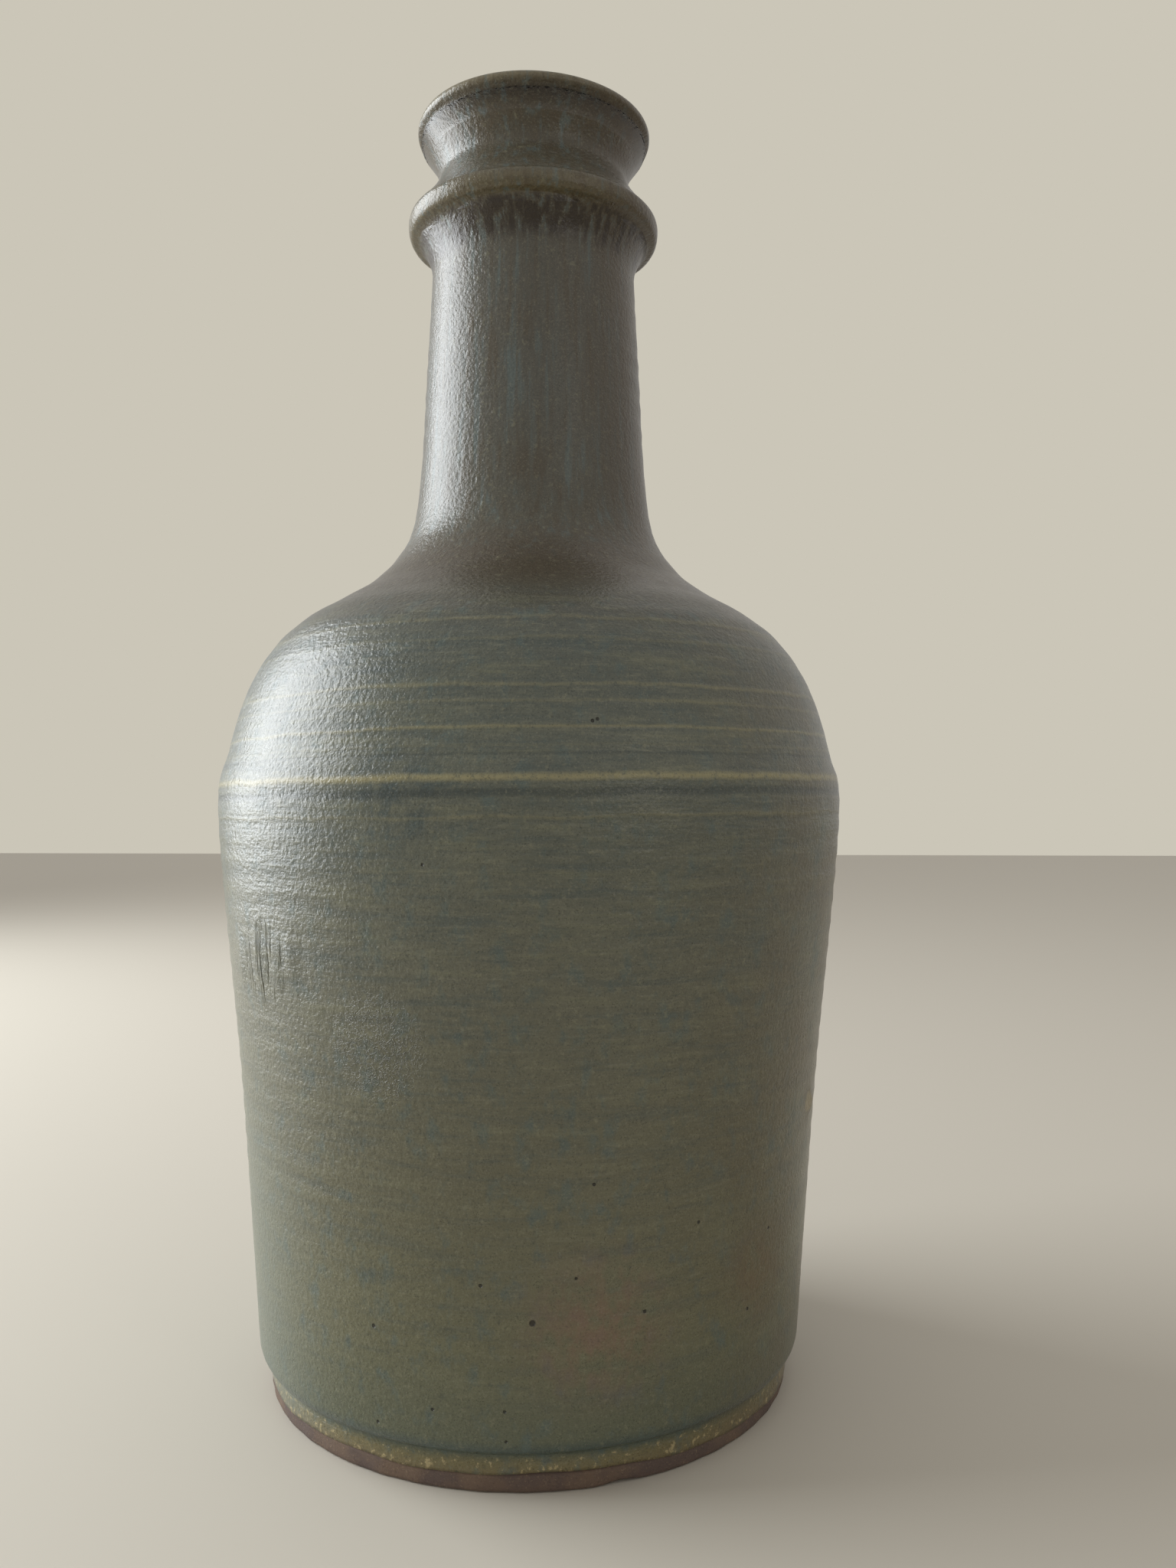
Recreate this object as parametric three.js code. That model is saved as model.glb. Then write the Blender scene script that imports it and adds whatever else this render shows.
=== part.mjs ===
// A free-standing stoneware bottle vase: a wide drum of a body, a slim neck with a raised
// collar and a small flared mouth. It is built up as a potter builds it, from clay sections
// luted together, with one coat of glaze over the outside.
// Millimetres, +Z up, origin on the table under the middle of the foot.
import * as THREE from 'three';

// Foot: a low band of clay that the wall overhangs, with a shallow recess under the floor
const footRadius = 61.6;
const footBandHeight = 7.8;
const footRingWidth = 8;
const floorThickness = 4.8;
const floorSeatWidth = 3;
const footChamfer = 1;

// The rounded bottom edge of the wall, where it steps out over the foot band
const wallEdgeRise = 4.2;
const wallEdgeOverhang = 3;
const wallEdgeStepShare = 0.25;

// Body outline: each rise is measured from the station below it, and the radii above the
// belly by how far they come in from it. The middle of the wall is a share of the way out.
const midWallRise = 60;
const midWallShare = 0.442;
const bellyRise = 59;
const bellyRadius = 74.1;
const upperBellyRise = 16;
const upperBellyInset = 2.3;
const shoulderRise = 14;
const shoulderInset = 6.5;
const shoulderTurnRise = 10;
const shoulderTurnInset = 12.3;
const shoulderSlopeRise = 7;
const shoulderSlopeInset = 19.7;
const neckFootRise = 8;
const neckFootRadius = 41.3;
const neckRootRise = 6.5;
const neckRootRadius = 34.3;
const neckSweepRise = 8.5;
const neckSweepRadius = 29.5;
const neckLowRise = 15;
const neckLowRadius = 27.4;
const neckMidRise = 24;
const neckMidRadius = 26.1;
const neckTopRise = 25;
const neckTopRadius = 24.6;

// Collar: a ring that covers the joint between the neck and the mouth
const collarHollowRise = 7.2;
const collarEdgeRadius = 29;
const collarLandRise = 3.1;
const collarRadius = 30.6;
const collarShoulderRise = 1.7;
const collarShoulderRadius = 29;
const collarSlopeRise = 5;
const collarTopRadius = 25.3;

// Mouth: a short waist that flares to a thin lip with a bead
const waistRise = 5.8;
const waistRadius = 23.1;
const flareRise = 9;
const flareRadius = 25.2;
const lipHeight = 2.8;
const lipRadius = 28.4;

// Clay walls, the glaze and the fits between them
const bodyWall = 6;
const neckWall = 4.5;
const lipWall = 3;
const coveRadius = 7;
const glazeThickness = 0.8;
const bareClayHeight = 3.7;
const glazeSeat = 0.1;
const luteGap = 0.3;
const tongueHeight = 2;
const tongueWidth = 1.6;
const spigotLength = 8;
const glazeInsideDepth = 14;

// Facets
const turnSegments = 32;
const stepsPerStation = 2;
const roundSteps = 4;
const hollowSteps = 3;
const edgeSteps = 2;

// Heights and radii of the stations, worked out from the sizes above
const wallEdgeRadius = footRadius + wallEdgeOverhang;
const midWallRadius = THREE.MathUtils.lerp(wallEdgeRadius, bellyRadius, midWallShare);
const upperBellyRadius = bellyRadius - upperBellyInset;
const shoulderRadius = bellyRadius - shoulderInset;
const shoulderTurnRadius = bellyRadius - shoulderTurnInset;
const shoulderSlopeRadius = bellyRadius - shoulderSlopeInset;
const recessDepth = footBandHeight - floorThickness;
const wallEdgeTop = footBandHeight + wallEdgeRise;
const midWallTop = wallEdgeTop + midWallRise;
const bellyTop = midWallTop + bellyRise;
const upperBellyTop = bellyTop + upperBellyRise;
const shoulderTop = upperBellyTop + shoulderRise;
const shoulderTurnTop = shoulderTop + shoulderTurnRise;
const shoulderSlopeTop = shoulderTurnTop + shoulderSlopeRise;
const neckFootTop = shoulderSlopeTop + neckFootRise;
const neckRootTop = neckFootTop + neckRootRise;
const neckSweepTop = neckRootTop + neckSweepRise;
const neckLowTop = neckSweepTop + neckLowRise;
const neckMidTop = neckLowTop + neckMidRise;
const neckTop = neckMidTop + neckTopRise;
const collarEdgeHeight = neckTop + collarHollowRise;
const collarLandTop = collarEdgeHeight + collarLandRise;
const collarShoulderTop = collarLandTop + collarShoulderRise;
const collarTop = collarShoulderTop + collarSlopeRise;
const waistTop = collarTop + waistRise;
const flareTop = waistTop + flareRise;
const rimTop = flareTop + lipHeight;
const glazeSkin = glazeThickness + glazeSeat;
const glazeEnd = rimTop - glazeInsideDepth;
const floorSeatRadius = footRadius - footRingWidth + floorSeatWidth;
const throatRadius = neckTopRadius - glazeSkin - neckWall;

const point = (radius, height) => new THREE.Vector2(radius, height);

const curve = (from, control, to) => new THREE.QuadraticBezierCurve(from, control, to);

// The smooth outline of the glazed body and neck, from the wall's bottom edge to the collar.
const bodyStations = [
  point(wallEdgeRadius, wallEdgeTop),
  point(midWallRadius, midWallTop),
  point(bellyRadius, bellyTop),
  point(upperBellyRadius, upperBellyTop),
  point(shoulderRadius, shoulderTop),
  point(shoulderTurnRadius, shoulderTurnTop),
  point(shoulderSlopeRadius, shoulderSlopeTop),
  point(neckFootRadius, neckFootTop),
  point(neckRootRadius, neckRootTop),
  point(neckSweepRadius, neckSweepTop),
  point(neckLowRadius, neckLowTop),
  point(neckMidRadius, neckMidTop),
  point(neckTopRadius, neckTop),
];
const bodySteps = (bodyStations.length - 1) * stepsPerStation;
const bodyOutline = new THREE.SplineCurve(bodyStations).getPoints(bodySteps);

// The foot band, then the rounded step out to the wall's bottom edge.
function footOutline() {
  const stepTop = footBandHeight + wallEdgeRise * wallEdgeStepShare;
  const step = curve(
    point(footRadius, footBandHeight), point(wallEdgeRadius, stepTop), point(wallEdgeRadius, wallEdgeTop));
  return [point(footRadius, 0), ...step.getPoints(roundSteps)];
}

// The collar: a hollow underside, a narrow upright land, a rounded edge and a slope to the waist.
function collarOutline() {
  const hollow = curve(
    point(neckTopRadius, neckTop),
    point((neckTopRadius + collarEdgeRadius) / 2, collarEdgeHeight),
    point(collarEdgeRadius, collarEdgeHeight));
  const land = curve(
    point(collarEdgeRadius, collarEdgeHeight),
    point(collarRadius, collarEdgeHeight),
    point(collarRadius, collarLandTop));
  const edge = curve(
    point(collarRadius, collarLandTop),
    point(collarRadius, collarShoulderTop),
    point(collarShoulderRadius, collarShoulderTop));
  return [
    ...hollow.getPoints(hollowSteps),
    ...land.getPoints(edgeSteps).slice(1),
    ...edge.getPoints(edgeSteps).slice(1),
    point(collarTopRadius, collarTop),
  ];
}

// The mouth's outline: waist, flare and the outside of the lip's bead.
function mouthOutline() {
  const waist = new THREE.SplineCurve([
    point(collarTopRadius, collarTop),
    point(waistRadius, waistTop),
    point(flareRadius, flareTop),
  ]).getPoints(2 * stepsPerStation);
  const bead = curve(
    point(flareRadius, flareTop), point(lipRadius, flareTop), point(lipRadius, flareTop + lipHeight / 2));
  return [...waist, ...bead.getPoints(edgeSteps).slice(1)];
}

// The lip's crown, from the outside of the bead over the top to the inside, and the throat.
function crownOutline() {
  const springing = flareTop + lipHeight / 2;
  const innerRadius = lipRadius - 2 * glazeSkin - lipWall;
  const middle = (lipRadius + innerRadius) / 2;
  const outer = curve(point(lipRadius, springing), point(lipRadius, rimTop), point(middle, rimTop));
  const inner = curve(point(middle, rimTop), point(innerRadius, rimTop), point(innerRadius, springing));
  const throat = point(throatRadius - glazeSkin, glazeEnd - glazeThickness);
  return [...outer.getPoints(edgeSteps), ...inner.getPoints(edgeSteps).slice(1), throat];
}

// Moves an open outline sideways along its own normals, towards the axis.
// depth is one number, or a function of the height.
function inset(outline, depth) {
  return outline.map((here, index) => {
    const before = outline[Math.max(index - 1, 0)];
    const after = outline[Math.min(index + 1, outline.length - 1)];
    const along = after.clone().sub(before).normalize();
    const amount = typeof depth === 'function' ? depth(here.y) : depth;
    return point(here.x - along.y * amount, here.y + along.x * amount);
  });
}

// The radius of an outline at a height.
function radiusAt(outline, height) {
  for (let index = 1; index < outline.length; index += 1) {
    const low = outline[index - 1];
    const high = outline[index];
    if (height >= low.y && height <= high.y) {
      return levelPoint(low, high, height).x;
    }
  }
  return height < outline[0].y ? outline[0].x : outline[outline.length - 1].x;
}

// The stretch of an outline between two heights, with its ends cut level.
function between(outline, bottom, top) {
  const inside = outline.filter((here) => here.y > bottom && here.y < top);
  return [point(radiusAt(outline, bottom), bottom), ...inside, point(radiusAt(outline, top), top)];
}

// The stretch of a path that rises past one height, turns over and falls to another.
function over(path, risingHeight, fallingHeight) {
  const first = path.findIndex((here) => here.y > risingHeight);
  const last = path.findLastIndex((here) => here.y > fallingHeight);
  return [
    levelPoint(path[first - 1], path[first], risingHeight),
    ...path.slice(first, last + 1),
    levelPoint(path[last], path[last + 1], fallingHeight),
  ];
}

function levelPoint(from, to, height) {
  return point(THREE.MathUtils.mapLinear(height, from.y, to.y, from.x, to.x), height);
}

// The wall gets thinner from the body to the neck.
function wallAt(height) {
  return THREE.MathUtils.mapLinear(
    THREE.MathUtils.clamp(height, bellyTop, neckLowTop), bellyTop, neckLowTop, bodyWall, neckWall);
}

// The whole glazed surface as one path, the back of the glaze and the face of the clay.
const risingSurface = [
  ...footOutline(),
  ...bodyOutline.slice(1),
  ...collarOutline().slice(1),
  ...mouthOutline().slice(1),
];
const glazeFace = [...risingSurface, ...crownOutline().slice(1)];
const glazeBack = inset(glazeFace, glazeThickness);
const clayFace = inset(glazeFace, glazeSkin);
const clayOutline = clayFace.slice(0, risingSurface.length);
const innerOutline = inset(bodyOutline, (height) => glazeSkin + wallAt(height));

// A luted joint: a tongue on the lower section stands in a groove of the upper one.
function tongue(outerRadius, innerRadius, height) {
  const middle = (outerRadius + innerRadius) / 2;
  return [
    point(middle + tongueWidth / 2, height),
    point(middle + tongueWidth / 2, height + tongueHeight),
    point(middle - tongueWidth / 2, height + tongueHeight),
    point(middle - tongueWidth / 2, height),
  ];
}

function groove(outerRadius, innerRadius, height) {
  const middle = (outerRadius + innerRadius) / 2;
  const half = tongueWidth / 2 + luteGap;
  const top = height + tongueHeight + luteGap;
  return [
    point(middle - half, height),
    point(middle - half, top),
    point(middle + half, top),
    point(middle + half, height),
  ];
}

// Turns an outline, given from the bottom up on its outside, about +Z.
function turned(outline) {
  const geometry = new THREE.LatheGeometry(outline, turnSegments);
  geometry.rotateX(Math.PI / 2);
  return geometry;
}

// Turns an outline that goes all the way round a section of the wall.
function turnedRing(outline) {
  return turned([...outline, outline[0].clone()]);
}

function clay(name, geometry) {
  const material = new THREE.MeshStandardMaterial({ color: 0x6b5648, roughness: 0.9, metalness: 0 });
  const mesh = new THREE.Mesh(geometry, material);
  mesh.name = name;
  return mesh;
}

// The faces where the sections meet: outer and inner radius of the clay at each joint
const footJoint = { outer: radiusAt(clayOutline, footBandHeight), inner: floorSeatRadius };
const bellyJoint = {
  outer: radiusAt(clayOutline, bellyTop),
  inner: radiusAt(innerOutline, bellyTop),
};
const neckJoint = {
  outer: radiusAt(clayOutline, neckRootTop),
  inner: radiusAt(innerOutline, neckRootTop),
};
const spigotRadius = (neckTopRadius - glazeSkin + throatRadius) / 2;
const spigotTop = neckTop + spigotLength;

// The foot ring: bare clay below, a step that the glaze stops on, and a seat for the floor.
function footRing() {
  const innerRadius = footRadius - footRingWidth;
  return clay('foot_ring', turnedRing([
    point(innerRadius + footChamfer, 0),
    point(footRadius, 0),
    point(footRadius, bareClayHeight),
    ...between(clayOutline, bareClayHeight, footBandHeight),
    ...tongue(footJoint.outer, footJoint.inner, footBandHeight),
    point(floorSeatRadius, footBandHeight),
    point(floorSeatRadius, recessDepth),
    point(innerRadius, recessDepth),
    point(innerRadius, footChamfer),
  ]));
}

// The floor: a slab that lies in the foot ring's seat.
function floorSlab() {
  const radius = floorSeatRadius - luteGap;
  return clay('floor_slab', turned([
    point(0, recessDepth),
    point(radius, recessDepth),
    point(radius, footBandHeight),
    point(0, footBandHeight),
  ]));
}

// The lower wall stands on the foot ring, with a cove of clay over the floor's edge.
function lowerWall() {
  const coveTop = footBandHeight + coveRadius;
  const coveOuter = radiusAt(innerOutline, coveTop);
  const cove = curve(
    point(coveOuter, coveTop), point(coveOuter, footBandHeight), point(coveOuter - coveRadius, footBandHeight));
  return clay('lower_wall', turnedRing([
    ...groove(footJoint.outer, footJoint.inner, footBandHeight),
    ...between(clayOutline, footBandHeight, bellyTop),
    ...tongue(bellyJoint.outer, bellyJoint.inner, bellyTop),
    ...between(innerOutline, coveTop, bellyTop).reverse(),
    ...cove.getPoints(roundSteps).slice(1),
  ]));
}

// The shoulder closes the body in towards the neck.
function shoulder() {
  return clay('shoulder', turnedRing([
    ...groove(bellyJoint.outer, bellyJoint.inner, bellyTop),
    ...between(clayOutline, bellyTop, neckRootTop),
    ...tongue(neckJoint.outer, neckJoint.inner, neckRootTop),
    ...between(innerOutline, bellyTop, neckRootTop).reverse(),
  ]));
}

// The neck: a slim tube whose top is a spigot for the collar.
function neck() {
  return clay('neck', turnedRing([
    ...groove(neckJoint.outer, neckJoint.inner, neckRootTop),
    ...between(clayOutline, neckRootTop, neckTop),
    point(spigotRadius, neckTop),
    point(spigotRadius, spigotTop),
    point(throatRadius, spigotTop),
    ...between(innerOutline, neckRootTop, neckTop).reverse(),
  ]));
}

// The collar sits over the neck's spigot and holds the mouth's spigot from above.
function collarRing() {
  return clay('collar_ring', turnedRing([
    point(spigotRadius + luteGap, neckTop),
    ...between(clayOutline, neckTop, collarTop),
    point(spigotRadius + luteGap, collarTop),
  ]));
}

// The mouth: its spigot hangs in the collar and its flare ends in a rounded lip.
function mouth() {
  return clay('mouth', turnedRing([
    point(spigotRadius, spigotTop + luteGap),
    point(spigotRadius, collarTop),
    ...over(clayFace, collarTop, glazeEnd),
    point(throatRadius, spigotTop + luteGap),
  ]));
}

// The glaze: one skin from the foot's step up over the lip and a little way inside.
function glazeCoat() {
  const material = new THREE.MeshStandardMaterial({ color: 0x6a6b60, roughness: 0.45, metalness: 0 });
  const mesh = new THREE.Mesh(turnedRing([
    ...over(glazeFace, bareClayHeight, glazeEnd),
    ...over(glazeBack, bareClayHeight, glazeEnd).reverse(),
  ]), material);
  mesh.name = 'glaze_coat';
  return mesh;
}

const group = new THREE.Group();
group.name = 'stoneware_vase';
group.add(footRing(), floorSlab(), lowerWall(), shoulder(), neck(), collarRing(), mouth(), glazeCoat());

export default group;
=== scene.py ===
# The stoneware bottle vase: the glaze coat and the bare foot get their fine shape and finish
# here, over the clay sections that the frame brings. Metres, +Z up, the frame's own origin.
import math

import bpy
import numpy as np
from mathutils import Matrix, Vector


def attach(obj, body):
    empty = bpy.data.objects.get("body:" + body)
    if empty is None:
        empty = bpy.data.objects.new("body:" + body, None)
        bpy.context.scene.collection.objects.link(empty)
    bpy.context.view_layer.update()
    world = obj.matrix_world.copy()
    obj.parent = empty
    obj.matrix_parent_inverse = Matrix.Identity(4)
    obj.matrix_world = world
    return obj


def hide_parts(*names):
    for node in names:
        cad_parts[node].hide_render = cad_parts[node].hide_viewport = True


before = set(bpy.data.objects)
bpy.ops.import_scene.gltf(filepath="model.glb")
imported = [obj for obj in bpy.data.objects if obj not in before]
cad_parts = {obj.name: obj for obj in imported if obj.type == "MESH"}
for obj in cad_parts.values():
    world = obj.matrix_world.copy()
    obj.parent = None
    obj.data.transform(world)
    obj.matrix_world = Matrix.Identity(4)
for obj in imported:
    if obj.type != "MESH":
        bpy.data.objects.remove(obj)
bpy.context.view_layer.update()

MM = 0.001

# The camera, from the ellipses of the rim and the foot
FOCAL_PIXELS = 1567.0
PICTURE_WIDTH = 1536.0
PICTURE_HEIGHT = 2048.0
SENSOR = 36.0
HORIZON_ROW = 1052.0
CAMERA_AT = Vector((13.7, -296.0, 134.7)) * MM
CAMERA_ROLL = math.radians(-0.13)
CLIP_START = 0.01
MIDDLE_COLUMN = 692
RAY_STEP = 0.2 * MM

# Outline of the glazed surface: (height, radius) in millimetres
FOOT_RADIUS = 61.6
BAND_HEIGHT = 7.8
EDGE_CONTROL_HEIGHT = 8.85
BODY = [
    (12, 64.6), (72, 68.8), (131, 74.1), (147, 71.8), (161, 67.6), (171, 61.8), (178, 54.4),
    (186, 41.3), (192.5, 34.3), (201, 29.5), (216, 27.4), (240, 26.1), (265, 24.6)]
COLLAR_EDGE = (272.2, 29.0)
LAND_TOP = (275.3, 30.6)
COLLAR_SHOULDER = (277.0, 29.0)
COLLAR_TOP = (282.0, 25.3)
WAIST = (287.8, 23.1)
FLARE = (296.9, 27.3)
LIP_RADIUS = 28.4
LIP_INNER_RADIUS = 23.6
SPRINGING = 298.2
RIM = 299.6
THROAT_END = (284.8, 18.3)
GLAZE_END = 3.7
GLAZE_DEPTH = 0.75

# Resolution of the glaze: the longest step along the outline, up to each height (mm)
STEPS = [(14, 0.6), (192, 1.4), (264, 2.0), (400, 0.6)]
BACK_STEP = 5.0
COLUMNS = 256
FOOT_COLUMNS = 200
MERGE = 0.00001
SAME_POINT = 0.001
BATCH = 4096

# Throwing: a helix that rises to the right, by mm a turn. Its ridges have a depth (mm), a least
# share of it with what the drift adds, and the two waves of the drift up and round the vase
TURN_RISE = 5.6
RISE = TURN_RISE / math.tau
RIDGE_DEPTH = 0.1
RIDGE_SHARES = (0.6, 0.2)
DRIFT = (0.11, 0.6, 0.047, 2)

# Where the surface is uneven, by height (mm): rising from and to, then falling from and to
BODY_BAND = (14, 30, 255, 264)
COLLAR_BAND = (268, 272, 276, 280)
LIP_BAND = (296, 299)
END_BAND = (4.6, 7.4)

# How far the surface is off the true round (mm)
WOBBLE = 0.05
UNEVEN_LIP = 0.1
UNEVEN_COLLAR = 0.1
END_ROLL = 0.12

# Waves round the vase: size, number and start (radians)
ROLL_WAVES = [(0.6, 5, 1.0), (0.4, 13, 0.0)]
LIP_WAVES = [(1.0, 3, 0.4)]
END_WAVES = [(0.35, 3, 1.2), (0.25, 8, 0.3), (0.12, 21, 0.0)]
GRIT_WAVES = [(1.0, 37, 0.0), (1.0, 53, 1.0)]

# Where the glaze runs lowest: drop (mm), angle, and half width from outside to inside
LOW_RUN = (0.9, 1.2, 0.9, 0.1)

# Swellings: height (mm), column and row in the picture, half width and half height (mm)
SWELLINGS = [
    (0.25, 560, 1033, 24, 1.6), (0.55, 316, 1255, 1.5, 5.5), (0.55, 338, 1255, 1.5, 5.5),
    (0.55, 360, 1255, 1.5, 5.5), (0.55, 379, 1255, 1.5, 5.5), (0.8, 1058, 1438, 2.2, 2.4)]

# The bare foot (mm)
FOOT_WIDTH = 8.0
FOOT_FACE_INSET = 0.9
FOOT_TOP = 7.4
FOOT_SEAT = 4.5
FOOT_RECESS = 3.0
FOOT_SKIN = 1.5
GRIT_DEPTH = 0.05
CHIP_DEPTH = 0.8
CHIP = (816, 1944, 3.0, 1.5)


def curve(start, control, end, count=12):
    """Points of a quadratic curve."""
    points = []
    for index in range(count + 1):
        t = index / count
        points.append(tuple(
            (1 - t) ** 2 * a + 2 * t * (1 - t) * b + t * t * c
            for a, b, c in zip(start, control, end)))
    return points


def spline(points, count=12):
    """Points of an even Catmull-Rom spline through the stations."""
    stations = [np.array(point, float) for point in points]
    last = len(stations) - 1
    smooth = [stations[0]]
    for index in range(last):
        before = stations[max(index - 1, 0)]
        start = stations[index]
        end = stations[index + 1]
        after = stations[min(index + 2, last)]
        leave = (end - before) / 2
        arrive = (after - start) / 2
        for step in range(1, count + 1):
            t = step / count
            smooth.append(
                (2 * start - 2 * end + leave + arrive) * t ** 3
                + (3 * end - 3 * start - 2 * leave - arrive) * t ** 2 + leave * t + start)
    return [tuple(point) for point in smooth]


def glaze_path():
    """The glazed surface from the foot's step up over the lip and into the throat."""
    collar_hollow = curve(
        BODY[-1], (COLLAR_EDGE[0], (BODY[-1][1] + COLLAR_EDGE[1]) / 2), COLLAR_EDGE)
    path = [(GLAZE_END, FOOT_RADIUS)]
    path += curve((BAND_HEIGHT, FOOT_RADIUS), (EDGE_CONTROL_HEIGHT, BODY[0][1]), BODY[0])
    path += spline(BODY)[1:]
    path += collar_hollow[1:]
    path += curve(COLLAR_EDGE, (COLLAR_EDGE[0], LAND_TOP[1]), LAND_TOP)[1:]
    path += curve(LAND_TOP, (COLLAR_SHOULDER[0], LAND_TOP[1]), COLLAR_SHOULDER)[1:]
    path += spline([COLLAR_TOP, WAIST, FLARE])
    path += curve(FLARE, (FLARE[0], LIP_RADIUS), (SPRINGING, LIP_RADIUS))[1:]
    middle = (RIM, (LIP_RADIUS + LIP_INNER_RADIUS) / 2)
    path += curve((SPRINGING, LIP_RADIUS), (RIM, LIP_RADIUS), middle)[1:]
    path += curve(middle, (RIM, LIP_INNER_RADIUS), (SPRINGING, LIP_INNER_RADIUS))[1:]
    path.append(THROAT_END)
    return np.array(path)


PATH = glaze_path()
RISING = PATH[:int(np.argmax(PATH[:, 0])) + 1]


def outline_radius(height):
    """Radius of the outside at a height, both in millimetres."""
    return float(np.interp(height, RISING[:, 0], RISING[:, 1]))


def resampled(path, step_at):
    """The path with even steps, whose length may change with the height."""
    points = [path[0]]
    for end in path[1:]:
        start = points[-1]
        length = float(np.linalg.norm(end - start))
        count = int(length / step_at(start[0]))
        for index in range(1, count + 1):
            points.append(start + (end - start) * index / count)
    if np.linalg.norm(points[-1] - path[-1]) > SAME_POINT:
        points.append(path[-1])
    return np.array(points)


def step_at(height):
    """The step wanted at a height on the outside."""
    for top, step in STEPS:
        if height < top:
            return step
    return STEPS[-1][1]


def normals_of(path):
    """Unit normals of a path, away from the clay."""
    along = np.gradient(path, axis=0)
    along /= np.linalg.norm(along, axis=1)[:, None]
    return np.stack([-along[:, 1], along[:, 0]], axis=1)


def on_outline(column, row):
    """The point of the outside that the camera sees at a pixel, or beside it the closest."""
    ray = Vector((
        (column - PICTURE_WIDTH / 2) / FOCAL_PIXELS, 1.0, (HORIZON_ROW - row) / FOCAL_PIXELS))
    count = int(-CAMERA_AT.y / RAY_STEP)
    for index in range(count):
        here = CAMERA_AT + ray * (index * RAY_STEP)
        if math.hypot(here.x, here.y) <= outline_radius(here.z / MM) * MM:
            return here
    return CAMERA_AT + ray * -CAMERA_AT.y


def front_height(row):
    """Height on the front of the vase that the camera sees at a row of the picture."""
    return on_outline(MIDDLE_COLUMN, row).z / MM


def turned(name, outline, columns):
    """Draws a closed outline by extruding one vertex, and spins it about the axis."""
    bpy.ops.object.select_all(action="DESELECT")
    bpy.ops.mesh.primitive_plane_add(size=MM, location=(0, 0, 0))
    piece = bpy.context.object
    piece.name = name
    bpy.ops.object.mode_set(mode="EDIT")
    bpy.ops.mesh.select_all(action="SELECT")
    bpy.ops.mesh.merge(type="CENTER")
    here = Vector((outline[0][1] * MM, 0, outline[0][0] * MM))
    bpy.ops.transform.translate(value=here)
    for height, radius in list(outline[1:]) + [outline[0]]:
        there = Vector((radius * MM, 0, height * MM))
        bpy.ops.mesh.extrude_region_move(TRANSFORM_OT_translate={"value": there - here})
        here = there
    bpy.ops.mesh.select_all(action="SELECT")
    bpy.ops.mesh.spin(steps=columns, angle=math.tau, center=(0, 0, 0), axis=(0, 0, 1))
    bpy.ops.mesh.select_all(action="SELECT")
    bpy.ops.mesh.remove_doubles(threshold=MERGE)
    bpy.ops.mesh.normals_make_consistent(inside=False)
    bpy.ops.object.mode_set(mode="OBJECT")
    bpy.ops.object.shade_smooth()
    return piece


def vertices(piece):
    """The piece's vertices as an array."""
    flat = np.empty(len(piece.data.vertices) * 3)
    piece.data.vertices.foreach_get("co", flat)
    return flat.reshape(-1, 3)


def set_vertices(piece, points):
    """Puts moved vertices back."""
    piece.data.vertices.foreach_set("co", points.ravel())
    piece.data.update()


def smooth_step(value, low, high):
    """Goes from 0 at low to 1 at high, with soft ends."""
    t = np.clip((value - low) / (high - low), 0, 1)
    return t * t * (3 - 2 * t)


def bump_at(angle, height, column, row, across, up):
    """A soft bump of the surface around the point seen at a pixel, 1 at its middle."""
    seen = on_outline(column, row)
    turn = math.atan2(seen.x, -seen.y)
    away = (angle - turn) * outline_radius(seen.z / MM)
    return np.exp(-(away / across) ** 2 - ((height - seen.z / MM) / up) ** 2)


def within(height, band):
    """1 inside a band of heights, with soft ends."""
    return smooth_step(height, *band[:2]) * (1 - smooth_step(height, *band[2:]))


def ripple(angle, waves):
    """The sum of some waves round the vase."""
    return sum(size * np.sin(count * angle + start) for size, count, start in waves)


def nearest_point(outline, radius, height):
    """For each vertex, the number of the outline's point that it was spun from."""
    nearest = np.empty(len(height), int)
    for start in range(0, len(height), BATCH):
        some = slice(start, start + BATCH)
        gaps = (height[some, None] - outline[:, 0]) ** 2
        gaps += (radius[some, None] - outline[:, 1]) ** 2
        nearest[some] = gaps.argmin(axis=1)
    return nearest


def unevenness(angle, height):
    """How far the fired surface stands off a true turned one (mm)."""
    body = within(height, BODY_BAND)
    spiral = (height / TURN_RISE - angle / math.tau) * math.tau
    slow, begin, slower, turns = DRIFT
    drift = np.sin(height * slow + begin) + np.sin(height * slower + turns * angle)
    least, more = RIDGE_SHARES
    move = -RIDGE_DEPTH * (1 - np.cos(spiral)) * body * (least + more * drift)
    move += -WOBBLE * (1 + np.sin(2 * angle + 0.7 + height * 0.01)) * body
    for size, *place in SWELLINGS:
        move += size * bump_at(angle, height, *place)
    end = 1 - smooth_step(height, *END_BAND)
    move += END_ROLL * end * (1 + ripple(angle, ROLL_WAVES))
    move += -UNEVEN_LIP * smooth_step(height, *LIP_BAND) * (1 + ripple(angle, LIP_WAVES))
    collar = within(height, COLLAR_BAND)
    move += -UNEVEN_COLLAR * collar * (1 + np.sin(4 * angle + 2.0) * np.cos(angle))
    return move


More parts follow.
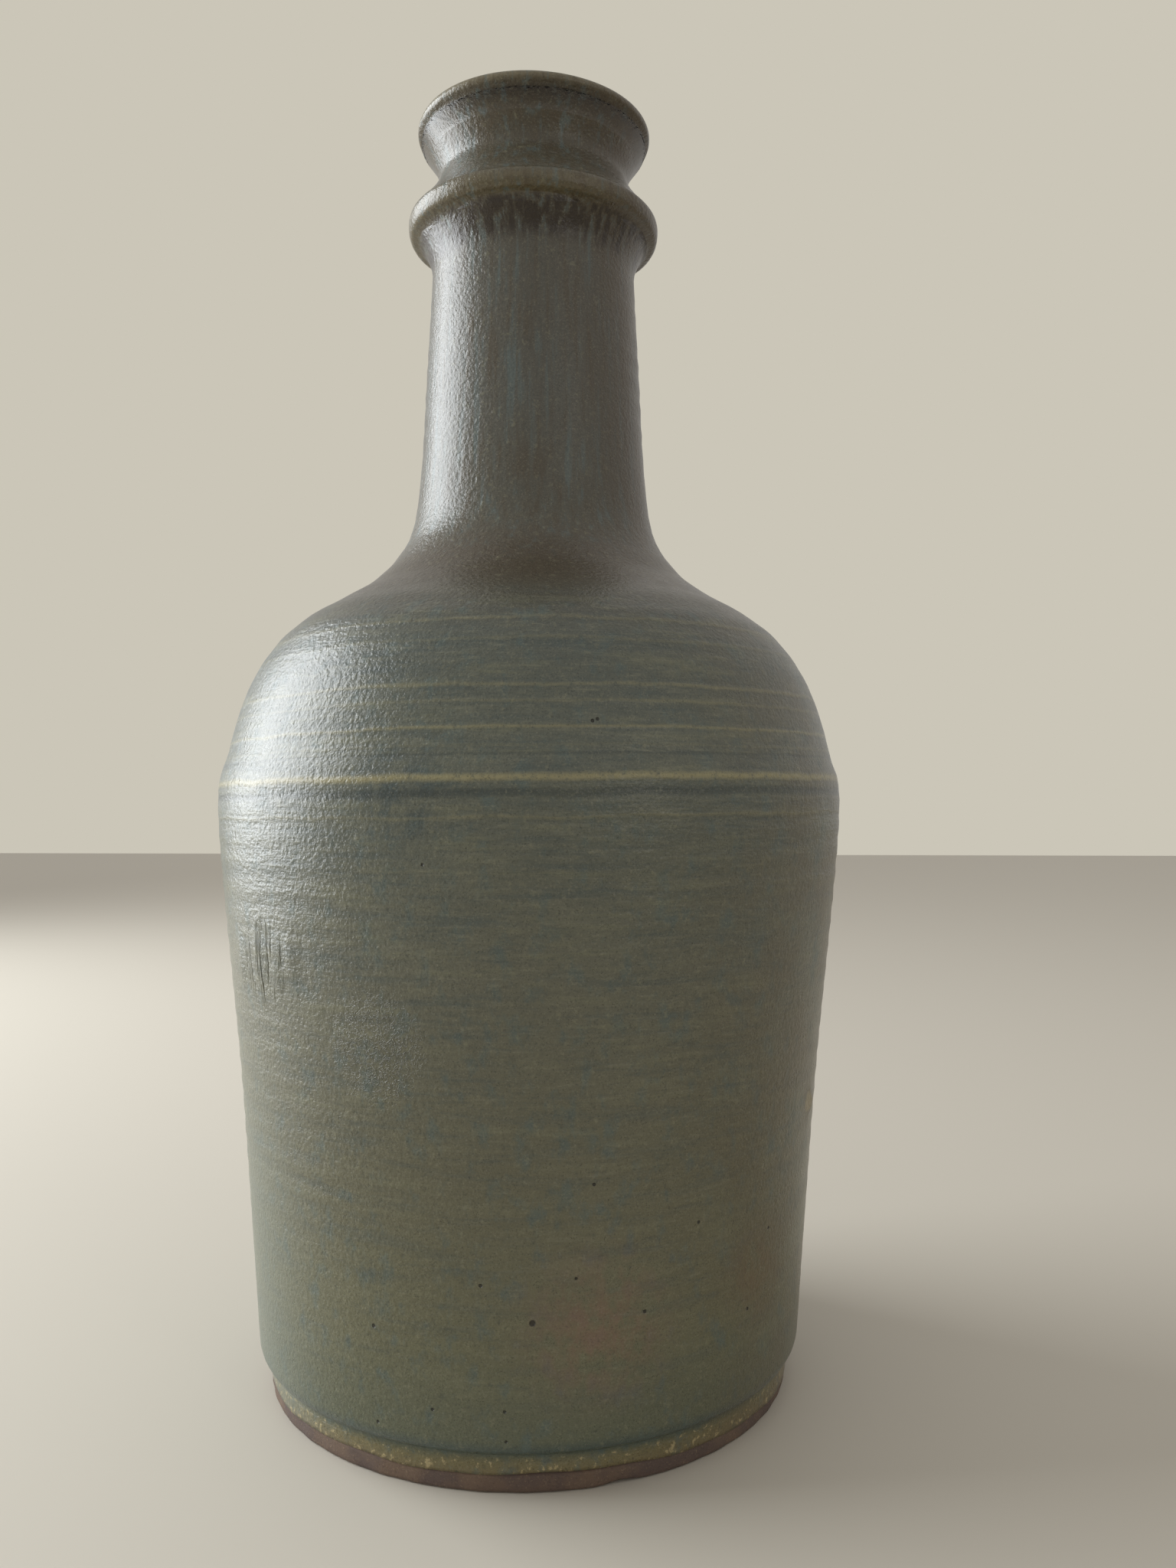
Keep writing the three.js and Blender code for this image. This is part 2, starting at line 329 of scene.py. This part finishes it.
def make_glaze():
    """The glaze: turned fine, then moved into ridges, wobble, blisters and a wavy end."""
    face = resampled(PATH, step_at)
    back_path = resampled(PATH, lambda height: BACK_STEP)
    back = back_path - normals_of(back_path) * GLAZE_DEPTH
    back[0] = (GLAZE_END, FOOT_RADIUS - GLAZE_DEPTH)
    outline = np.array(list(face) + list(back[::-1]))
    piece = turned("glaze_skin", outline, COLUMNS)

    points = vertices(piece) / MM
    radius = np.hypot(points[:, 0], points[:, 1])
    angle = np.arctan2(points[:, 0], -points[:, 1])
    height = points[:, 2].copy()
    nearest = nearest_point(outline, radius, height)
    is_face = nearest < len(face)
    direction = np.zeros((len(points), 2))
    direction[is_face] = normals_of(face)[nearest[is_face]]

    end = 1 - smooth_step(height, *END_BAND)
    move = unevenness(angle, height)
    height += move * direction[:, 0]
    radius += move * direction[:, 1]
    drop, middle, outside, inside = LOW_RUN
    wave = ripple(angle, END_WAVES) - drop * smooth_step(np.abs(angle - middle), outside, inside)
    reach = 1 - smooth_step(height, GLAZE_END, BAND_HEIGHT)
    height += wave * end * reach
    points[:, 0] = radius * np.sin(angle)
    points[:, 1] = -radius * np.cos(angle)
    points[:, 2] = np.minimum(height, RIM)
    set_vertices(piece, points * MM)
    return piece


def make_foot():
    """The bare ring that the vase stands on, with softened edges and one small chip."""
    inner = FOOT_RADIUS - FOOT_WIDTH
    face = FOOT_RADIUS - FOOT_FACE_INSET
    seat = face - FOOT_SEAT
    outline = [
        (0.0, inner + 1), (0.0, inner + 3), (0.0, FOOT_RADIUS - 2.4), (0.0, FOOT_RADIUS - 0.9),
        (0.3, FOOT_RADIUS - 0.2), (0.9, FOOT_RADIUS), (1.9, FOOT_RADIUS), (2.9, FOOT_RADIUS),
        (GLAZE_END, FOOT_RADIUS - 0.05), (4.0, face), (FOOT_TOP, face), (FOOT_TOP, seat),
        (FOOT_RECESS, seat), (FOOT_RECESS, inner), (1.0, inner)]
    piece = turned("bare_foot", outline, FOOT_COLUMNS)
    points = vertices(piece) / MM
    angle = np.arctan2(points[:, 0], -points[:, 1])
    outer = np.hypot(points[:, 0], points[:, 1]) > FOOT_RADIUS - FOOT_SKIN
    chip = bump_at(angle, points[:, 2], *CHIP) * outer * CHIP_DEPTH
    rough = GRIT_DEPTH * (ripple(angle, GRIT_WAVES) - 1) * outer
    shrink = (rough - chip)[:, None] * np.stack(
        [np.sin(angle), -np.cos(angle), np.zeros(len(angle))], axis=1)
    lift = np.zeros_like(points)
    lift[:, 2] = chip
    set_vertices(piece, (points + shrink + lift) * MM)
    return piece


class Value:
    """A socket of a node tree that takes arithmetic like a number."""

    def __init__(self, paint, socket):
        self.paint = paint
        self.socket = socket

    def maths(self, operation, *operands):
        node = self.paint.node("Math", {"operation": operation}, dict(enumerate(operands)))
        return Value(self.paint, node.outputs[0])

    def __add__(self, other):
        return self.maths("ADD", self, other)

    def __sub__(self, other):
        return self.maths("SUBTRACT", self, other)

    def __rsub__(self, other):
        return self.maths("SUBTRACT", other, self)

    def __mul__(self, other):
        return self.maths("MULTIPLY", self, other)

    __radd__ = __add__
    __rmul__ = __mul__


def linear(red, green, blue):
    """A colour given as it shows, for a shader that works in linear light."""
    steps = []
    for level in (red, green, blue):
        share = level / 255
        steps.append(share / 12.92 if share < 0.04045 else ((share + 0.055) / 1.055) ** 2.4)
    return (*steps, 1.0)


class Paint:
    """A material and the nodes that make it up."""

    def __init__(self, name):
        self.material = bpy.data.materials.new(name)
        self.material.use_nodes = True
        self.tree = self.material.node_tree
        self.shader = self.tree.nodes["Principled BSDF"]
        place = self.node("TexCoord", {}, {})
        self.place = place.outputs["Object"]
        parts = self.node("SeparateXYZ", {}, {0: self.place})
        across = Value(self, parts.outputs[0])
        depth = Value(self, parts.outputs[1])
        self.height = Value(self, parts.outputs[2]) * 1000
        self.angle = across.maths("ARCTAN2", across, depth * -1)
        self.facing = across.maths("COSINE", self.angle)
        square = across * across + depth * depth
        self.radius = square.maths("SQRT", square) * 1000

    def plug(self, socket, given):
        """Gives an input a fixed value or links it to another socket."""
        if isinstance(given, Value):
            given = given.socket
        if isinstance(given, bpy.types.NodeSocket):
            self.tree.links.new(given, socket)
        else:
            socket.default_value = given

    def node(self, kind, settings, sockets):
        """Adds a node with its settings and sockets."""
        node = self.tree.nodes.new("ShaderNode" + kind)
        for key, setting in settings.items():
            setattr(node, key, setting)
        for key, given in sockets.items():
            self.plug(node.inputs[key], given)
        return node

    def noise(self, scale, detail, rough=0.55, stretch=(1, 1, 1), shift=0.0):
        """Noise in the vase's own space: scale is in grains per metre."""
        where = self.node("VectorMath", {"operation": "MULTIPLY"}, {0: self.place, 1: stretch})
        moved = self.node(
            "VectorMath", {"operation": "ADD"}, {0: where.outputs[0], 1: (shift, shift, shift)})
        grain = self.node("TexNoise", {}, {
            "Vector": moved.outputs[0], "Scale": scale, "Detail": detail, "Roughness": rough})
        return Value(self, grain.outputs[0])

    def step(self, value, low, high, start=0.0, end=1.0):
        """Goes softly from start to end as a value goes from low to high."""
        node = self.node("MapRange", {"interpolation_type": "SMOOTHSTEP"}, {
            0: value, 1: low, 2: high, 3: start, 4: end})
        return Value(self, node.outputs[0])

    def mix(self, factor, first, second):
        """Goes from one colour to another."""
        node = self.node("Mix", {"data_type": "RGBA"}, {0: factor, 6: first, 7: second})
        return node.outputs[2]

    def layered(self, tone, layers):
        """Lays colours over a tone, each where its mask is, by its strength."""
        for mask, strength, colour in layers:
            tone = self.mix(mask * strength, tone, linear(*colour))
        return tone

    def ramp(self, value, low, high, stops):
        """Colours or levels by height: each stop is a position between low and high."""
        share = self.node("MapRange", {}, {0: value, 1: low, 2: high})
        node = self.node("ValToRGB", {}, {0: share.outputs[0]})
        elements = node.color_ramp.elements
        while len(elements) < len(stops):
            elements.new(0.5)
        for element, (position, colour) in zip(elements, sorted(stops)):
            element.position = (position - low) / (high - low)
            element.color = colour
        return node.outputs[0]

    def distance(self, point):
        """Distance from a point, in millimetres."""
        node = self.node(
            "VectorMath", {"operation": "DISTANCE"}, {0: self.place, 1: tuple(point)})
        return Value(self, node.outputs["Value"]) * 1000

    def spot(self, column, row, size, soft=0.5):
        """1 within a distance in millimetres of the point seen at a pixel, 0 beyond."""
        return self.step(self.distance(on_outline(column, row)), size * soft, size, 1.0, 0.0)

    def set(self, **sockets):
        """Sets inputs of the material's shader."""
        for key, given in sockets.items():
            self.plug(self.shader.inputs[key.replace("_", " ")], given)

    def bump(self, relief):
        """Relief in millimetres."""
        node = self.node("Bump", {}, {"Strength": 1.0, "Distance": MM, "Height": relief})
        self.tree.links.new(node.outputs[0], self.shader.inputs["Normal"])


# Colours of the glaze by height (mm), as they show in flat light, except the dark stops at 267
# and 271 under the collar ring and at 296.7 under the lip's roll, which are painted shade
GLAZE_AND_SHADE_BY_HEIGHT = [
    (2.0, (112, 98, 70)), (6.6, (108, 102, 70)), (7.6, (70, 80, 68)), (9.6, (66, 80, 76)),
    (11.6, (88, 92, 74)), (30, (98, 97, 74)), (62, (96, 94, 75)), (100, (94, 94, 80)),
    (131, (90, 93, 82)), (150, (88, 92, 82)), (168, (82, 86, 78)), (177, (76, 74, 64)),
    (184, (70, 62, 50)), (191, (74, 66, 54)), (199, (80, 78, 68)), (230, (80, 79, 72)),
    # 267 and 271: painted shade under the collar ring
    (262, (78, 75, 66)), (267, (56, 48, 36)), (271, (64, 55, 40)), (272.4, (98, 89, 68)),
    (273.6, (80, 72, 50)), (275.0, (98, 90, 70)), (276.6, (84, 80, 68)), (283, (76, 72, 60)),
    # 296.7: painted shade under the lip's roll
    (294.5, (70, 62, 48)), (296.7, (48, 38, 24)), (297.6, (104, 96, 76)), (300, (120, 112, 90))]

# Throwing lines: row where each crosses the front, light above 0.5 or dark below, half width
LINES = [
    (805, 0.68, 0.9), (832, 0.66, 0.8), (892, 0.72, 0.8), (914, 0.68, 0.7), (949, 0.74, 0.8),
    (973, 0.66, 0.6), (984, 0.32, 0.6), (1014, 0.88, 1.3), (1035, 0.24, 1.6), (1067, 0.68, 0.8)]
NO_LINES_BELOW = 90.0
LINE_WANDER = 1.6
PLAIN = 0.5

# Pinholes and pits, near black as the clay they show and as painted shade inside them: column and
# row in the picture, and radius in millimetres
PINHOLES = [
    (697, 1729, 0.75), (490, 1732, 0.5), (629, 1680, 0.45), (777, 1547, 0.4), (844, 1713, 0.45),
    (978, 1709, 0.45), (496, 1857, 0.4), (567, 1841, 0.4), (661, 1844, 0.4), (663, 1883, 0.4),
    (754, 1670, 0.35), (914, 1596, 0.4), (1005, 1603, 0.4), (552, 1130, 0.35), (774, 941, 0.45),
    (780, 939, 0.4)]

# Grains of the glaze: scale, detail, roughness, stretch and shift of each noise
GRAINS = {
    "large": (70, 4.0),
    "mottle": (260, 4.0, 0.6, (1, 1, 0.7), 3.0),
    "cells": (720, 3.0, 0.65, (1, 1, 1), 7.0),
    "speckle": (2600, 2.0, 0.7, (1, 1, 1), 11.0),
    "streak": (520, 3.0, 0.6, (1, 1, 0.07), 5.0),
    "peel": (1150, 2.0, 0.5, (1, 1, 1), 2.0),
    "brushed": (420, 4.0, 0.62, (0.1, 0.1, 1), 9.0),
    "fine_brushed": (1300, 3.0, 0.6, (0.12, 0.12, 1), 13.0)}

# Parts of the vase by height (mm) or by angle from the front (radians): from 0 to 1
ON_BODY = (182, 172)
ABOVE_FOOT = (12, 22)
UP_THE_WALL = (0, 150, 0.45, 1.0)
# Heights (mm) of the painted highlight on the lower left
PAINTED_HIGHLIGHT_HEIGHTS = (96, 40)
ON_NECK = (186, 200)
# Heights (mm) under the collar ring where painted shade is laid: rising, then falling
PAINTED_SHADE_UNDER_COLLAR = ((262.5, 266), (272.5, 271))
ON_FOOT_BAND = (7.6, 6.4)
ABOVE_THROAT = (284, 285)
# Angles of the right side, where brown and painted shade go, and of the left side, where the
# painted highlight goes
BROWN_AND_SHADE_ANGLES = (0.25, 1.1)
PAINTED_HIGHLIGHT_ANGLES = (-0.55, -1.1)
BACK_FADE = (-0.95, -0.55)

# The middle of the mouth's wall: a height, its radius there, and how much it widens per mm
MOUTH_WALL = (287.8, 21.3, 0.44)
HEIGHT_TOP = 300.5
HEIGHT_FADE = 1.4

# Marks: column and row in the picture, size (mm), and the share of it that is full
BLUSH = (785, 1735, 22, 0.1)
RUST = (990, 1660, 16, 0.1)
POOL = (525, 1040, 15, 0.2)
SCAR = (1056, 1438, 3.0, 0.5)
BLISTERS = (342, 1255, 11, 0.3)
SQUIGGLES = (492, 1370, 14, 0.3)


def level(value):
    """A grey stop of a ramp."""
    return (value, value, value, 1.0)


def throwing_lines(paint, large):
    """The single turns of the throwing helix: above 0 where light, below 0 where dark."""
    spiral = paint.height - paint.angle * RISE + (large - PLAIN) * LINE_WANDER
    stops = [(NO_LINES_BELOW, level(PLAIN))]
    for row, strength, half in LINES:
        middle = front_height(row)
        stops += [
            (middle - half, level(PLAIN)), (middle, level(strength)),
            (middle + half, level(PLAIN))]
    heights = [height for height, colour in stops]
    ramp = paint.ramp(spiral, min(heights) - 1, max(heights) + 1, stops)
    return (Value(paint, ramp) - PLAIN) * paint.step(paint.facing, *BACK_FADE)


def pinholes(paint):
    """1 inside the pinholes and pits."""
    pits = [paint.spot(*facts) for facts in PINHOLES]
    pit = pits[0]
    for hole in pits[1:]:
        pit = pit.maths("MAXIMUM", pit, hole)
    return pit


def mouth_inside(paint):
    """1 on the glaze inside the mouth."""
    height, radius, widening = MOUTH_WALL
    wall = radius + (paint.height - height) * widening - paint.radius
    return paint.step(wall, -0.4, 0.4) * paint.step(paint.height, *ABOVE_THROAT)


def wall_layers(paint, grain, on_wall):
    """Mottle and brushed throwing marks, light where the glaze is thin and blue where thick."""
    step = paint.step
    return [
        (step(grain["mottle"], 0.5, 0.72) * step(paint.height, *ON_BODY), 0.55, (74, 92, 92)),
        (step(grain["brushed"], 0.5, 0.7) * on_wall, 0.4, (116, 116, 92)),
        (step(grain["brushed"], 0.5, 0.3) * on_wall, 0.5, (64, 76, 76)),
        (step(grain["fine_brushed"], 0.54, 0.7) * on_wall, 0.3, (126, 126, 108)),
        (step(grain["fine_brushed"], 0.46, 0.3) * on_wall, 0.3, (56, 66, 64)),
        (step(grain["cells"], 0.55, 0.75), 0.35, (130, 128, 104)),
        (step(grain["cells"], 0.45, 0.25), 0.4, (58, 64, 58))]


def side_layers(paint, grain, on_neck):
    """Brown on the right, partly the glaze's brown and partly painted shade of the side away from
    the window, and darker on the right of the neck as painted shade; brown and blue streaks up
    the neck; a painted highlight in pale blue on the lower left, where the window light falls;
    and the stained patches.
    """
    step = paint.step
    brown_and_shade_right = step(paint.angle, *BROWN_AND_SHADE_ANGLES)
    painted_highlight_left = step(paint.angle, *PAINTED_HIGHLIGHT_ANGLES)
    streak = grain["streak"]
    mottle = grain["mottle"]
    return [
        # Brown patches on the right: the glaze's brown, laid on that side as painted shade as
        # well
        (brown_and_shade_right * step(grain["large"], 0.3, 0.6), 0.45, (88, 76, 54)),
        # Pale blue on the lower left: a painted highlight, the window light on that side
        (painted_highlight_left * step(paint.height, *PAINTED_HIGHLIGHT_HEIGHTS), 0.5, (112, 120, 112)),
        (on_neck * step(streak, 0.5, 0.68), 0.5, (72, 60, 42)),
        (on_neck * step(streak, 0.48, 0.3), 0.6, (84, 98, 98)),
        # Dark brown over the right of the neck: painted shade of its unlit side
        (brown_and_shade_right * on_neck, 0.6, (60, 46, 28)),
        (paint.spot(*BLUSH) * step(mottle, 0.35, 0.65), 0.6, (122, 92, 74)),
        (paint.spot(*RUST) * step(mottle, 0.35, 0.7), 0.6, (104, 82, 52)),
        (paint.spot(*POOL) * step(mottle, 0.4, 0.6), 0.55, (52, 64, 66))]


def fine_layers(paint, grain, lines, pit):
    """The inside of the mouth, the throwing lines, speckle, painted shade in a band under the
    collar, pits darkened partly by painted shade, and scar.
    """
    step = paint.step
    inside = mouth_inside(paint)
    streak = grain["streak"]
    cells = grain["cells"]
    speckle = grain["speckle"]
    rising, falling = PAINTED_SHADE_UNDER_COLLAR
    band = step(paint.height, *rising) * step(paint.height, *falling)
    return [
        (inside, 0.85, (118, 118, 108)),
        (inside * step(streak, 0.5, 0.66), 0.6, (86, 74, 56)),
        (step(lines, 0.03, 0.4) * step(cells, 0.2, 0.5), 0.8, (146, 138, 100)),
        (step(lines, -0.03, -0.22) * step(cells, 0.25, 0.5), 0.7, (50, 58, 56)),
        (step(speckle, 0.56, 0.72), 0.4, (132, 130, 112)),
        (step(speckle, 0.44, 0.3), 0.45, (44, 46, 40)),
        # Near-black band under the collar ring, broken up by the streak noise: painted shade
        # under the overhang
        (band * step(streak, 0.42, 0.56), 0.8, (34, 24, 14)),
        (step(paint.height, *ON_FOOT_BAND) * step(cells, 0.56, 0.66), 0.7, (172, 156, 116)),
        # Near black in the pits: the clay they show, darkened further as painted shade inside the
        # holes
        (pit, 0.85, (26, 22, 16)),
        (paint.spot(*SCAR), 0.7, (150, 138, 110))]


def glaze_relief(paint, grain, lines, pit, on_wall, on_neck):
    """Fine relief of the glaze in millimetres."""
    blister = paint.spot(*BLISTERS) * paint.step(grain["streak"], 0.5, 0.64)
    crossing = grain["cells"] - 0.5
    squiggle = paint.step(crossing.maths("ABSOLUTE", crossing), 0.05, 0.0)
    squiggle = paint.spot(*SQUIGGLES) * squiggle
    relief = lines * 0.35 + grain["peel"] * 0.16 + grain["cells"] * 0.14
    relief = relief + grain["speckle"] * 0.04
    relief = relief + (grain["brushed"] * 0.18 + grain["fine_brushed"] * 0.06) * on_wall
    relief = relief + blister * 0.55 + squiggle * 0.12 - pit * 0.35
    return relief + grain["streak"] * on_neck * 0.08


def paint_glaze():
    """Satin mottled glaze: thin and pale on the ridges, dark and blue where it pools."""
    paint = Paint("glaze")
    grain = {name: paint.noise(*facts) for name, facts in GRAINS.items()}
    lines = throwing_lines(paint, grain["large"])
    pit = pinholes(paint)
    on_neck = paint.step(paint.height, *ON_NECK)
    on_wall = paint.step(paint.height, *ON_BODY) * paint.step(paint.height, *ABOVE_FOOT)
    on_wall = on_wall * paint.step(paint.height, *UP_THE_WALL)

    tone = paint.ramp(
        paint.height + (grain["mottle"] - 0.5) * HEIGHT_FADE, 0.0, HEIGHT_TOP,
        [(height, linear(*colour)) for height, colour in GLAZE_AND_SHADE_BY_HEIGHT])
    tone = paint.layered(tone, wall_layers(paint, grain, on_wall))
    tone = paint.layered(tone, side_layers(paint, grain, on_neck))
    tone = paint.layered(tone, fine_layers(paint, grain, lines, pit))

    paint.bump(glaze_relief(paint, grain, lines, pit, on_wall, on_neck))
    matt = 0.3 + (grain["mottle"] - 0.5) * 0.16 + (grain["speckle"] - 0.5) * 0.1
    paint.set(Base_Color=tone, Roughness=matt + pit * 0.3, IOR=1.5)
    return paint.material


def paint_clay():
    """Bare fired clay: dull purple-brown with fine grit."""
    paint = Paint("bare_clay")
    patch = paint.noise(140, 4.0)
    grit = paint.noise(2200, 3.0, 0.7, shift=4.0)
    tone = paint.mix(paint.step(patch, 0.35, 0.65), linear(88, 74, 68), linear(104, 86, 72))
    tone = paint.layered(tone, [
        (paint.step(grit, 0.58, 0.7), 0.5, (150, 130, 104)),
        (paint.step(grit, 0.42, 0.3), 0.5, (46, 38, 34))])
    paint.bump(grit * 0.12 + patch * 0.1)
    paint.set(Base_Color=tone, Roughness=0.9)
    return paint.material


CLAY_PARTS = ("floor_slab", "lower_wall", "shoulder", "neck", "collar_ring", "mouth")


def dress():
    """Puts the pieces on the frame and gives every part its finish."""
    glaze = make_glaze()
    foot = make_foot()
    glaze_look = paint_glaze()
    clay_look = paint_clay()
    glaze.data.materials.append(glaze_look)
    foot.data.materials.append(clay_look)
    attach(glaze, "root")
    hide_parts("glaze_coat")
    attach(foot, "root")
    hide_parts("foot_ring")
    for name in CLAY_PARTS:
        for slot in bpy.data.objects[name].material_slots:
            slot.material = clay_look


# Studio
FLOOR_SIZE = 6.0
FLOOR_COLOUR = (196, 190, 178)
WALL_COLOUR = (203, 198, 184)
ROOM_COLOUR = (1.0, 0.97, 0.92, 1.0)
ROOM_STRENGTH = 0.6
LIGHTS = {
    "window": {
        "at": (-1.05, 0.22, 0.45), "size": (0.95, 1.0), "power": 22.0,
        "colour": (0.93, 0.97, 1)},
    "lamp": {
        "at": (0.75, -0.95, 0.42), "size": (0.16, 0.16), "power": 0.5,
        "colour": (1, 0.95, 0.86)}}
LIGHT_AIM = Vector((0, 0, 0.15))
FLOOR_ROUGHNESS = 0.7


def add_light(name, facts):
    """A soft flat light that faces the middle of the vase."""
    bpy.ops.object.light_add(type="AREA", location=facts["at"])
    light = bpy.context.object
    light.name = name
    light.data.shape = "RECTANGLE"
    light.data.size, light.data.size_y = facts["size"]
    light.data.energy = facts["power"]
    light.data.color = facts["colour"]
    aim = LIGHT_AIM - Vector(facts["at"])
    light.rotation_euler = aim.to_track_quat("-Z", "Y").to_euler()


def studio():
    """The floor, the room, the two lights and the camera."""
    bpy.ops.object.select_all(action="DESELECT")
    bpy.ops.mesh.primitive_plane_add(size=FLOOR_SIZE, location=(0, 0, 0))
    floor = bpy.context.object
    floor.name = "studio_floor"
    look = Paint("studio_floor")
    look.set(Base_Color=linear(*FLOOR_COLOUR), Roughness=FLOOR_ROUGHNESS)
    floor.data.materials.append(look.material)

    world = bpy.data.worlds.new("studio")
    bpy.context.scene.world = world
    world.use_nodes = True
    nodes = world.node_tree.nodes
    links = world.node_tree.links
    room = nodes["Background"]
    room.inputs["Color"].default_value = ROOM_COLOUR
    room.inputs["Strength"].default_value = ROOM_STRENGTH
    wall = nodes.new("ShaderNodeBackground")
    wall.inputs["Color"].default_value = linear(*WALL_COLOUR)
    path = nodes.new("ShaderNodeLightPath")
    either = nodes.new("ShaderNodeMixShader")
    links.new(path.outputs["Is Camera Ray"], either.inputs[0])
    links.new(room.outputs[0], either.inputs[1])
    links.new(wall.outputs[0], either.inputs[2])
    links.new(either.outputs[0], nodes["World Output"].inputs["Surface"])

    for name, facts in LIGHTS.items():
        add_light(name, facts)

    bpy.ops.object.camera_add(location=CAMERA_AT)
    camera = bpy.context.object
    camera.name = "camera"
    camera.data.sensor_width = SENSOR
    camera.data.lens = SENSOR * FOCAL_PIXELS / PICTURE_HEIGHT
    camera.data.shift_y = (HORIZON_ROW - PICTURE_HEIGHT / 2) / PICTURE_HEIGHT
    camera.rotation_euler = (math.pi / 2, CAMERA_ROLL, 0)
    camera.data.clip_start = CLIP_START
    bpy.context.scene.camera = camera
    bpy.context.scene.view_settings.view_transform = "Standard"


dress()
studio()
